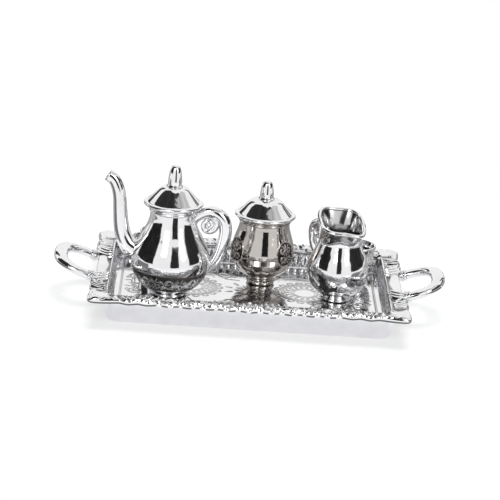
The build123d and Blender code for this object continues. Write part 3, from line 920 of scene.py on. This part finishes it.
def borderReach(s):
    # distance from the well's edge, along its outward direction, to the wavy outer edge
    shape = borderShape
    power = shape["cornerRound"]
    total = 0
    for axis, size in enumerate((trayShape["rimLength"], trayShape["rimWidth"])):
        span = (size / 2 - np.abs(loopPlaces[:, axis])) / np.maximum(np.abs(loopOuts[:, axis]), 1e-4)
        total = total + span ** -power
    lobe = np.zeros_like(s)
    for middles, aways, tall, half in shape["lobes"]:
        for middle in middles:
            for away in aways:
                for hand in (-1, 1):
                    lobe = np.maximum(lobe, tall * np.exp(-(near(s, middle + hand * away) / half) ** 2))
    return total ** (-1 / power) - shape["dip"] * (1 - lobe)


def borderRelief():
    # fans at the corners, ruffled leaves along the sides; (along, outwards) in millimetres
    relief = Relief(loopTotal, 7.4, 0.08, around=True)

    def fan(place, reach, ribs, wide, lift):
        inner = 0.7
        broad = wide / ribs * 1.02
        for k in range(ribs):
            lean = (k - (ribs - 1) / 2) / ((ribs - 1) / 2)
            tip = reach * (1 - 0.12 * lean * lean)
            points = [(place + lean * wide * v ** 1.15, inner + (tip - inner) * v)
                      for v in (0, 0.3, 0.6, 0.85, 1)]
            relief.stroke(points, [0.3 * broad, 0.6 * broad, 0.85 * broad, broad, 0.7 * broad], lift)
        relief.dab(place, inner, 0.6, lift)

    def ruffle(start, hand, count, pitch, reach, lift, broad=1.0):
        # leaves that lie side by side, sweeping away from the start
        for k in range(count):
            x = start + hand * pitch * k
            points = [(x, 0.5), (x + hand * 0.35, 0.4 * reach), (x + hand * 1.1, 0.75 * reach),
                      (x + hand * 2.1, reach)]
            relief.stroke(points, [0.3 * broad, 0.5 * broad, 0.56 * broad, 0.38 * broad], lift)

    # a low row of ribs runs all round as the ground between the larger leaves
    ribs = borderShape["groundRibs"]
    for k in range(ribs):
        x = loopTotal * k / ribs
        if min(abs(near(x, end)) for end in endPlaces) < borderShape["plainEnd"]:
            continue
        lean = 0.5 if (k // 5) % 2 else -0.5
        relief.stroke([(x, 0.6), (x + lean * 0.5, 2.0), (x + lean * 1.6, 4.2)], [0.3, 0.42, 0.4], 0.2)
    for place in cornerPlaces:
        fan(place, 6.6, 6, 2.5, 0.6)
        for hand in (-1, 1):
            for k in range(3):
                x = place + hand * (2.5 + 1.05 * k)
                relief.stroke([(x, 0.9), (x + hand * 0.5, 2.4), (x + hand * 1.1, 4.0)], [0.3, 0.5, 0.4], 0.5)
            relief.spiral(place + hand * 6.9, 2.3, 1.1, 90 + hand * 40, 1.15,
                          [0.42, 0.4, 0.3], 0.42, -hand, 0.25)
    for middle in sidePlaces:
        fan(middle, 3.9, 7, 2.6, 0.55)
        for hand in (-1, 1):
            ruffle(middle + hand * 3.4, hand, 4, 1.3, 3.8, 0.52)
            relief.spiral(middle + hand * 9.9, 2.2, 1.25, 90 - hand * 90, 1.3,
                          [0.42, 0.42, 0.3], 0.45, hand, 0.22)
            fan(middle + hand * 13.2, 3.8, 5, 1.8, 0.52)
            relief.spiral(middle + hand * 16.3, 2.2, 1.2, 90 - hand * 90, 1.3,
                          [0.4, 0.42, 0.3], 0.42, -hand, 0.22)
            ruffle(middle + hand * 17.8, hand, 4, 1.3, 3.8, 0.52)
    for middle in endPlaces:
        for hand in (-1, 1):
            ruffle(middle + hand * 5.6, hand, 3, 1.7, 3.8, 0.7, 1.4)
        relief.stroke([(middle - 4.8, 2.3), (middle, 2.5), (middle + 4.8, 2.3)], [1.1, 1.9, 1.1], 0.4)
    relief.soften()
    return relief


def makeBorder():
    shape = borderShape
    s = np.linspace(0, loopTotal, borderColumns, endpoint=False)
    reach = borderReach(s)
    relief = borderRelief()
    top = trayShape["rimTop"]
    # section across the border: share of the reach, and height of the plain casting
    section = smoothThrough([(0.0, top - 0.75), (0.05, top - 0.5), (0.12, top - 0.46), (0.2, top - 0.58),
                             (0.35, top - 0.62), (0.6, top - 0.56), (0.8, top - 0.44), (0.93, top - 0.38),
                             (0.985, top - 0.52), (1.0, top - 0.8)], 5)
    under = smoothThrough([(1.0, top - 0.8), (0.985, top - 1.15), (0.93, top - 1.3), (0.7, top - 1.22),
                           (0.3, top - 1.28), (0.0, top - 1.28)], 3)[1:]
    rows, recess = [], []
    for share, height in section:
        outwards = share * reach
        fade = np.clip((1.0 - share) / 0.1, 0, 1) * np.clip((share - 0.03) / 0.1, 0, 1)
        lift = relief.sample(s, outwards) * fade
        rows.append((outwards, height + lift))
        recess.append(np.clip(0.9 - lift / 0.22, 0, 1) * (0.1 < share < 0.94))
    # the underside is darkened as painted shadow under the border, most along its outer edge
    for share, height in under:
        rows.append((share * reach, height + 0 * s))
        recess.append(0 * s + (0.95 if share > 0.9 else 0.6))
    rows.append(rows[0])
    recess.append(recess[0])
    points = [np.column_stack([loopPlaces + loopOuts * out[:, None], high]) for out, high in rows]
    faces = gridFaces(len(rows), borderColumns)
    mesh = meshFrom("trayBorder", np.vstack(points), faces, np.concatenate(recess))
    showPiece("trayBorder", mesh, "tray", "tray", ["tray_border"])
    level = np.full(borderColumns, top - 0.6)
    edge = np.column_stack([loopPlaces + loopOuts * (reach - 0.08)[:, None], level])
    for name, middle in (("Front", sidePlaces[0]), ("Back", sidePlaces[1])):
        order = np.argsort(near(s, middle))
        run = edge[order][np.abs(near(s, middle)[order]) < shape["tipRun"]][::4]
        tips = repeatAlong("borderTips" + name, run, False, drop(1.05, 0.85, 0.28), shape["tipCount"],
                           (0.8, 1.2), "polished")
        showPiece("borderTips" + name, tips, "polished", "tray")


panShape = {
    "proud": 0.4,  # the skirt stands out this much more than the plain casting
    "outerCorner": (2.6, 1.9),  # at the border and at the foot
    "flutes": 118,
    "fluteDepth": 0.22,
    "columns": 944,
}


def makePan():
    # skirt, rounded foot, flat underside, and the fluted wall of the well down to its floor
    shape = trayShape
    columns = panShape["columns"]
    floor, top = shape["floor"], shape["panTop"]
    wide, narrow = shape["wall"] + panShape["proud"], shape["wall"] + panShape["proud"] - shape["taper"]
    upper, lower = panShape["outerCorner"]
    rows = [(wide, top, upper, 0), (wide - 0.05, top * 0.96, upper, 0)]
    rows += [(wide + (narrow - wide) * v, top * (1 - v), upper + (lower - upper) * v, 0)
             for v in (0.3, 0.6, 0.85)]
    rows += [(out, high, lower, 0) for out, high in arcOf((narrow - 0.45, 0.5), 0.5, 5, -95, 8)]
    rows += [(-3.6, 0.0, 1.0, 0), (-3.6, floor - 0.4, 1.0, 0), (-3.2, floor - 0.25, 1.0, 0)]
    wall = smoothThrough([(-1.3, floor - 0.24), (-0.85, floor - 0.05), (-0.68, floor + 0.35),
                          (-0.5, floor + 1.1), (-0.28, floor + 1.9), (0.0, top)], 5)
    rise = np.clip((wall[:, 1] - floor - 0.1) / (top - floor - 0.1), 0, 1)
    rows += [(out, high, shape["wellCorner"] + out, sin(pi * v ** 0.8)) for (out, high), v in zip(wall, rise)]
    rows.append(rows[0])
    flute = np.abs(np.sin(np.linspace(0, pi * panShape["flutes"], columns, endpoint=False))) ** 0.7
    grid, recess = [], []
    for out, high, corner, deep in rows:
        places, outs = roundedLoop(wellLength + 2 * out, wellWidth + 2 * out, corner, columns)[:2]
        places = places - outs * (flute * panShape["fluteDepth"] * deep)[:, None]
        grid.append(np.column_stack([places, np.full(columns, high)]))
        recess.append(np.clip(1 - flute * 2.2, 0, 1) * deep * 0.4)
    mesh = meshFrom("trayPan", np.vstack(grid), gridFaces(len(grid), columns), np.concatenate(recess))
    showPiece("trayPan", mesh, "skirt", "tray", ["tray_pan"])


floorShape = {
    "lift": 0.07,  # height of the pressed ornament
    "sheet": 0.12,  # ground of the sheet, under the level the vessels stand on
    "medallions": [(-12.4, 0.6), (12.4, 0.6)],
    "medallion": 5.6,
    "step": 0.152,
    "tuck": 0.35,  # how far the sheet's edge goes into the wall
    "deep": 0.6,  # the sheet's underside, below its level
    # of the front right quarter, from the middle of the tray; the other quarters mirror it
    "curls": [
        # x, y, radius, start, turns, hand
        (21.2, 9.6, 2.6, 200, 1.6, 1), (24.6, 4.6, 1.8, 120, 1.4, -1), (16.2, 12.4, 1.9, 20, 1.4, -1),
        (25.0, 13.2, 1.5, 250, 1.3, 1), (5.2, 9.4, 2.0, 160, 1.5, 1), (9.6, 12.6, 1.6, 30, 1.4, -1),
    ],
    "stems": [
        [(2.0, 6.2), (4.6, 6.6), (7.4, 9.6), (11.2, 10.6), (15.6, 9.4)],
        [(1.2, 12.6), (5.6, 13.9), (11.6, 15.0), (18.4, 14.6), (24.6, 15.6)],
    ],
    "leaves": [
        # x, y, turn, length
        (18.4, 6.4, 60, 1.9), (18.9, 5.6, -40, 1.6), (23.2, 7.2, 20, 1.8), (23.6, 7.8, 70, 1.7),
        (17.8, 14, 40, 1.5), (24.2, 10.6, 0, 1.9), (25.6, 10.0, 60, 1.7), (26.4, 3.2, 80, 1.6),
        (2.6, 8.2, -10, 1.6), (7.4, 11.4, 60, 1.7), (8.2, 10.8, 120, 1.6), (25.6, 2.2, -30, 1.5),
        (11.8, 14.0, 100, 1.3), (20.4, 13.4, 60, 1.5), (3.2, 11.8, 70, 1.6),
    ],
}


def floorRelief(length, width):
    # fine pressed lines: two ringed medallions, corner sprays and side scrolls inside an edge line
    relief = Relief(length, width, 0.09)
    cx, cy, lift = length / 2, width / 2, floorShape["lift"]
    size = floorShape["medallion"]

    for mx, my in floorShape["medallions"]:
        x, y = cx + mx, cy + my
        for share, half in ((1.0, 0.2), (0.9, 0.13), (0.5, 0.16), (0.44, 0.1)):
            relief.spiral(x, y, size * share, 0, 1.0, [half, half], lift, 1, 1.0)
        for k in range(18):
            turn = 20 * k
            a, b = radians(turn), radians(turn + 10)
            relief.leaf(x + size * 0.55 * cos(a), y + size * 0.55 * sin(a), size * 0.28, turn, 0.32, lift)
            relief.dab(x + size * 0.82 * cos(b), y + size * 0.82 * sin(b), 0.28, lift)
            relief.spiral(x + size * 1.09 * cos(a), y + size * 1.09 * sin(a), 0.62, turn - 90, 0.5,
                          [0.16, 0.2, 0.16], lift, 1, 1.0)
    relief.flower(cx, cy, 3.2, 10, lift)
    for k in range(10):
        turn = 36 * k + 18
        a = radians(turn)
        relief.leaf(cx + 3.5 * cos(a), cy + 3.5 * sin(a), 1.9, turn, 0.34, lift)

    def spray(hx, hy):
        def put(x, y):
            return cx + hx * x, cy + hy * y

        def aim(turn):
            turn = turn if hx == 1 else 180 - turn
            return turn if hy == 1 else 360 - turn

        stem = [0.16, 0.24, 0.16]
        for x, y, radius, start, turns, hand in floorShape["curls"]:
            relief.spiral(*put(x, y), radius, aim(start), turns, stem, lift, hand * hx * hy, 0.2)
        for points in floorShape["stems"]:
            relief.stroke([put(x, y) for x, y in points], stem, lift)
        relief.flower(*put(21.2, 9.6), 1.1, 7, lift, 10)
        relief.flower(*put(13.2, 12.9), 1.3, 6, lift, 20)
        for x, y, turn, long in floorShape["leaves"]:
            relief.leaf(*put(x, y), long, aim(turn), 0.3, lift, 0.5 * hx * hy)

    for hx in (-1, 1):
        for hy in (-1, 1):
            spray(hx, hy)
    for hx in (-1, 1):
        relief.flower(cx + hx * 21.4, cy, 1.7, 8, lift)
        relief.leaf(cx + hx * 23.6, cy, 2.8, 0 if hx == 1 else 180, 0.34, lift)
    for hy in (-1, 1):
        relief.flower(cx, cy + hy * 14.0, 1.5, 8, lift)
        for hx in (-1, 1):
            relief.leaf(cx + hx * 1.9, cy + hy * 14.0, 2.4, 0 if hx == 1 else 180, 0.34, lift, 0.3)
    inset = 1.7
    corners = roundedLoop(length - 2 * inset, width - 2 * inset, 1.4, 600)[0]
    relief.stroke(np.vstack([corners, corners[:1]]) + (cx, cy), [0.15, 0.15], lift)
    return relief


def makeFloor():
    # the pressed floor of the well, a sheet with its edge hidden in the wall
    shape = trayShape
    taper, tuck = shape["wellTaper"], floorShape["tuck"]
    length, width = wellLength - 2 * taper + 2 * tuck, wellWidth - 2 * taper + 2 * tuck
    corner = shape["wellCorner"] - taper + tuck
    relief = floorRelief(length, width)
    columns, rows = int(length / floorShape["step"]), int(width / floorShape["step"])
    x, y = np.meshgrid(np.linspace(0, length, columns), np.linspace(0, width, rows))
    lift = relief.sample(x, y)
    x, y = x - length / 2, y - width / 2
    awayX, awayY = np.abs(x) - (length / 2 - corner), np.abs(y) - (width / 2 - corner)
    away = np.hypot(np.maximum(awayX, 0), np.maximum(awayY, 0))
    outside = (awayX > 0) & (awayY > 0) & (away > corner)
    pull = np.where(outside, corner / np.maximum(away, 1e-6), 1)
    x = np.where(outside, np.sign(x) * (length / 2 - corner + awayX * pull), x)
    y = np.where(outside, np.sign(y) * (width / 2 - corner + awayY * pull), y)
    high = shape["floor"] - floorShape["sheet"] + lift
    points = np.stack([x, y, high], -1).reshape(-1, 3)
    slope = np.hypot(*np.gradient(lift)) / floorShape["lift"]
    recess = np.clip(slope * 1.8, 0, 1) * 0.75
    mesh = bpy.data.meshes.new("trayFloor")
    faces = gridFaces(rows, columns, around=False)
    mesh.from_pydata((points * mm).tolist(), [], faces.tolist())
    layer = mesh.attributes.new("recess", "FLOAT", "POINT")
    layer.data.foreach_set("value", recess.astype(np.float32).ravel())
    bm = bmesh.new()
    bm.from_mesh(mesh)
    bmesh.ops.remove_doubles(bm, verts=bm.verts, dist=2e-6)
    edges = [e for e in bm.edges if e.is_boundary]
    skirt = bmesh.ops.extrude_edge_only(bm, edges=edges)["geom"]
    for v in skirt:
        if isinstance(v, bmesh.types.BMVert):
            v.co.z = (shape["floor"] - floorShape["deep"]) * mm
    bmesh.ops.holes_fill(bm, edges=[e for e in bm.edges if e.is_boundary], sides=0)
    bmesh.ops.recalc_face_normals(bm, faces=bm.faces)
    bm.to_mesh(mesh)
    bm.free()
    mesh.shade_smooth()
    mesh.set_sharp_from_angle(angle=radians(60))
    showPiece("trayFloor", mesh, "tray", "tray", ["tray_pan"])


trayGrip = {
    "spread": 7.0,
    "rise": 19.0,
    "root": 5.2,
    "end": 1.56,  # half the bar's width at the outer end
    "halves": [1.05, 1.15, 1.2, 1.32, 1.5, 1.56, 1.5, 1.32, 1.2, 1.15, 1.05],
    "flat": 0.82,
    "inset": 1.6,  # the bar starts this far inside the border's edge
    "collars": [(1.7, 1.4), (2.35, 1.25)],  # place along the bar, half width
    "collarHalf": 0.3,
}


def makeTrayGrip(side, node):
    grip = trayGrip
    low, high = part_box(node)
    outer = (high.x if side > 0 else -low.x) / mm
    rise = radians(grip["rise"])
    root = trayShape["rimLength"] / 2 - grip["inset"]
    reach = (outer - root - grip["end"] * cos(rise)) / cos(rise)
    half = grip["spread"]
    flat = smoothThrough([(0, half), (0.22 * reach, half + 0.1), (0.48 * reach, half),
                          (0.72 * reach, half - 0.7), (0.9 * reach, half - 2.4),
                          (0.985 * reach, half - 4.7), (reach, 0)], 7)
    flat = np.vstack([flat, (flat * (1, -1))[::-1][1:]])
    points = np.stack([side * (root + flat[:, 0] * cos(rise)), flat[:, 1],
                       grip["root"] + flat[:, 0] * sin(rise)], 1)
    across = np.array([-side * sin(rise), 0, cos(rise)])
    axis = np.array([side * cos(rise), 0, sin(rise)])
    parts = [tube(points, grip["halves"], across, 32, grip["flat"])]
    t = np.linspace(-1, 1, 9)
    for hand in (-1, 1):
        start = np.array([side * root, hand * (half + 0.05), grip["root"]])
        for along, size in grip["collars"]:
            ring = start + axis * (along + t[:, None] * grip["collarHalf"])
            parts.append(tube(ring, size * np.sqrt(np.clip(1 - 0.35 * t * t, 0, 1)), across, 28))
    name = "trayHandleRight" if side > 0 else "trayHandleLeft"
    showPiece(name, meshFrom(name, *joinParts(parts)), "polished", "tray", [node])


makeBorder()
makePan()
makeFloor()
makeTrayGrip(-1, "tray_handle_left")
makeTrayGrip(1, "tray_handle_right")
print("tray made")

# Studio: a white sweep, soft boxes, and dark cards that only the metal sees
cameraView = {
    "azimuth": -1.7,
    "elevation": 18.2,
    "roll": 4.4,
    "distance": 0.480,
    "aim": (-0.00025, 0.0, 0.01172),
    "lens": 159.26,
    "sensor": 36.0,
}


def placeCamera():
    view = cameraView
    a, e, r = (radians(view[k]) for k in ("azimuth", "elevation", "roll"))
    back = Vector((sin(a) * cos(e), -cos(a) * cos(e), sin(e)))
    right = (-back).cross(Vector((0, 0, 1))).normalized()
    up = right.cross(-back)
    across = cos(r) * right + sin(r) * up
    over = -sin(r) * right + cos(r) * up
    data = bpy.data.cameras.new("studioCamera")
    data.lens = view["lens"]
    data.sensor_width = view["sensor"]
    data.clip_start = 0.01
    camera = bpy.data.objects.new("studioCamera", data)
    bpy.context.collection.objects.link(camera)
    turn = Matrix((across, over, back)).transposed().to_4x4()
    camera.matrix_world = Matrix.Translation(Vector(view["aim"]) + back * view["distance"]) @ turn
    bpy.context.scene.camera = camera


def seenRays(nodes):
    # 1 for camera, glossy and transmission rays
    path = nodes.make("ShaderNodeLightPath")
    return path.at("Is Camera Ray") + path.at("Is Glossy Ray") + path.at("Is Transmission Ray")


def makeWorld():
    world = bpy.data.worlds.new("studioAir")
    bpy.context.scene.world = world
    world.use_nodes = True
    world.node_tree.nodes.clear()
    nodes = Nodes(world.node_tree)
    seen = seenRays(nodes)
    plain = nodes.make("ShaderNodeBackground", None, {"Color": (0.95, 0.97, 1.0, 1), "Strength": 0.7})
    white = nodes.make("ShaderNodeBackground", None, {"Color": (1, 1, 1, 1), "Strength": 1.0})
    mixed = nodes.make("ShaderNodeMixShader", None, {0: seen, 1: plain, 2: white})
    nodes.make("ShaderNodeOutputWorld", None, {"Surface": mixed})


def makeFloorSweep():
    material, nodes = startMaterial("paperSweep")
    place = nodes.make("ShaderNodeTexCoord").at("Object")
    away = nodes.make("ShaderNodeVectorMath", {"operation": "LENGTH"}, {0: place}).at("Value")
    fade = nodes.make("ShaderNodeMapRange", {"clamp": True},
                      {"Value": away, "From Min": 0.05, "From Max": 0.13, "To Min": 0.55, "To Max": 1.0})
    seen = seenRays(nodes)
    fibre = nodes.make("ShaderNodeTexNoise", None, {"Vector": place, "Scale": 900})
    paper = nodes.make("ShaderNodeValToRGB", {"stops": [(0.3, [0.93] * 3), (0.7, [0.95] * 3)]}, {0: fibre})
    matte = nodes.make("ShaderNodeBsdfDiffuse", None, {"Color": paper})
    bright = nodes.make("ShaderNodeEmission", None, {"Color": (1, 1, 1, 1), "Strength": 1.0})
    mixed = nodes.make("ShaderNodeMixShader", None, {0: seen * fade, 1: matte, 2: bright})
    nodes.make("ShaderNodeOutputMaterial", None, {"Surface": mixed})
    sides = 72
    angle = np.linspace(0, 2 * pi, sides, endpoint=False)
    level = np.full(sides, -0.00002)
    rings = [np.stack([r * np.cos(angle), r * np.sin(angle), level], 1) for r in (0.0, 0.12, 0.6, 2.5)]
    mesh = bpy.data.meshes.new("floorSweep")
    mesh.from_pydata(np.vstack(rings).tolist(), [], gridFaces(len(rings), sides).tolist())
    sweep = bpy.data.objects.new("floorSweep", mesh)
    mesh.materials.append(material)
    bpy.context.collection.objects.link(sweep)
    bm = bmesh.new()
    bm.from_mesh(mesh)
    bmesh.ops.remove_doubles(bm, verts=bm.verts, dist=1e-6)
    bmesh.ops.recalc_face_normals(bm, faces=bm.faces)
    bm.to_mesh(mesh)
    bm.free()


# Cards stand round the set: azimuth from the camera's side, to the right, and elevation
cardTable = [
    # name, azimuth from, to, elevation from, to, distance, brightness
    ("flagLeft", -112, -50, 1, 38, 0.75, 0.018),
    ("flagLeftUpper", -112, -40, 38, 46, 0.75, 0.03),
    ("flagMiddle", -4, 20, 1, 40, 0.16, 0.02),
    ("flagRight", 58, 104, 2, 40, 0.75, 0.025),
    ("flagRightSoft", 104, 138, 3, 25, 0.75, 0.12),
    ("flagOver", -118, 6, 46, 77, 0.75, 0.03),
    ("flagTongue", 6, 64, 66, 74, 0.75, 0.05),
    ("softOver", 6, 112, 46, 66, 0.75, 0.55),
    ("flagBehindLeft", -152, -134, 4, 42, 0.75, 0.05),
    ("flagBehindRight", 140, 149, 4, 40, 0.75, 0.05),
]


lowCards = [
    # name, azimuth from, to, inner and outer radius on the paper, brightness
    ("lowBehind", 100, 260, 0.046, 0.6, 0.42),
    ("lowLeft", -98, -62, 0.048, 0.22, 0.2),
    ("lowRight", 62, 98, 0.048, 0.22, 0.2),
]


def makeCards():
    rows, columns = 16, 24
    for name, left, right, low, high, distance, bright in cardTable:
        a = np.radians(np.linspace(left, right, columns))
        e = np.radians(np.linspace(low, high, rows))[:, None]
        away = np.stack([np.cos(e) * np.sin(a), -np.cos(e) * np.cos(a), np.sin(e) + 0 * a], -1)
        addCard(name, bright, distance * away)
    for name, left, right, inner, outer, bright in lowCards:
        a = np.radians(np.linspace(left, right, columns))
        r = np.linspace(inner, outer, rows)[:, None]
        addCard(name, bright, np.stack([r * np.sin(a), -r * np.cos(a), 0.0004 + 0 * r * a], -1))


def addCard(name, bright, grid):
    material, nodes = startMaterial(name + "Cloth")
    place = nodes.make("ShaderNodeTexCoord").at("Object")
    nap = nodes.make("ShaderNodeTexNoise", None, {"Vector": place, "Scale": 6})
    stops = [(0.3, [bright * 0.7] * 3), (0.8, [bright * 1.6] * 3)]
    tone = nodes.make("ShaderNodeValToRGB", {"stops": stops}, {0: nap})
    glow = nodes.make("ShaderNodeEmission", None, {"Color": tone, "Strength": 1.0})
    nodes.make("ShaderNodeOutputMaterial", None, {"Surface": glow})
    mesh = bpy.data.meshes.new(name)
    mesh.from_pydata(grid.reshape(-1, 3).tolist(), [], gridFaces(*grid.shape[:2], around=False).tolist())
    mesh.materials.append(material)
    card = bpy.data.objects.new(name, mesh)
    bpy.context.collection.objects.link(card)
    card.visible_camera = False
    card.visible_diffuse = False
    card.visible_shadow = False


lampTable = [
    # name, azimuth, elevation, distance, width and height, power, whether the metal mirrors it
    ("topBox", 172, 74, 0.85, (0.5, 0.5), 4.6, False),
    ("keyBox", -22, 34, 0.9, (0.22, 0.3), 1.2, True),
    ("fillBox", 42, 30, 0.9, (0.2, 0.4), 1.0, True),
]


def makeLamp(name, azimuth, elevation, distance, size, power, mirrored):
    a, e = radians(azimuth), radians(elevation)
    direction = Vector((sin(a) * cos(e), -cos(a) * cos(e), sin(e)))
    data = bpy.data.lights.new(name, "AREA")
    data.shape = "RECTANGLE"
    data.size, data.size_y = size
    data.energy = power
    lamp = bpy.data.objects.new(name, data)
    bpy.context.collection.objects.link(lamp)
    lamp.location = direction * distance
    lamp.visible_glossy = mirrored
    lamp.rotation_euler = direction.to_track_quat("Z", "Y").to_euler()


placeCamera()
makeWorld()
makeFloorSweep()
makeCards()
for row in lampTable:
    makeLamp(*row)
bpy.context.scene.view_settings.view_transform = "Standard"
print("studio made")
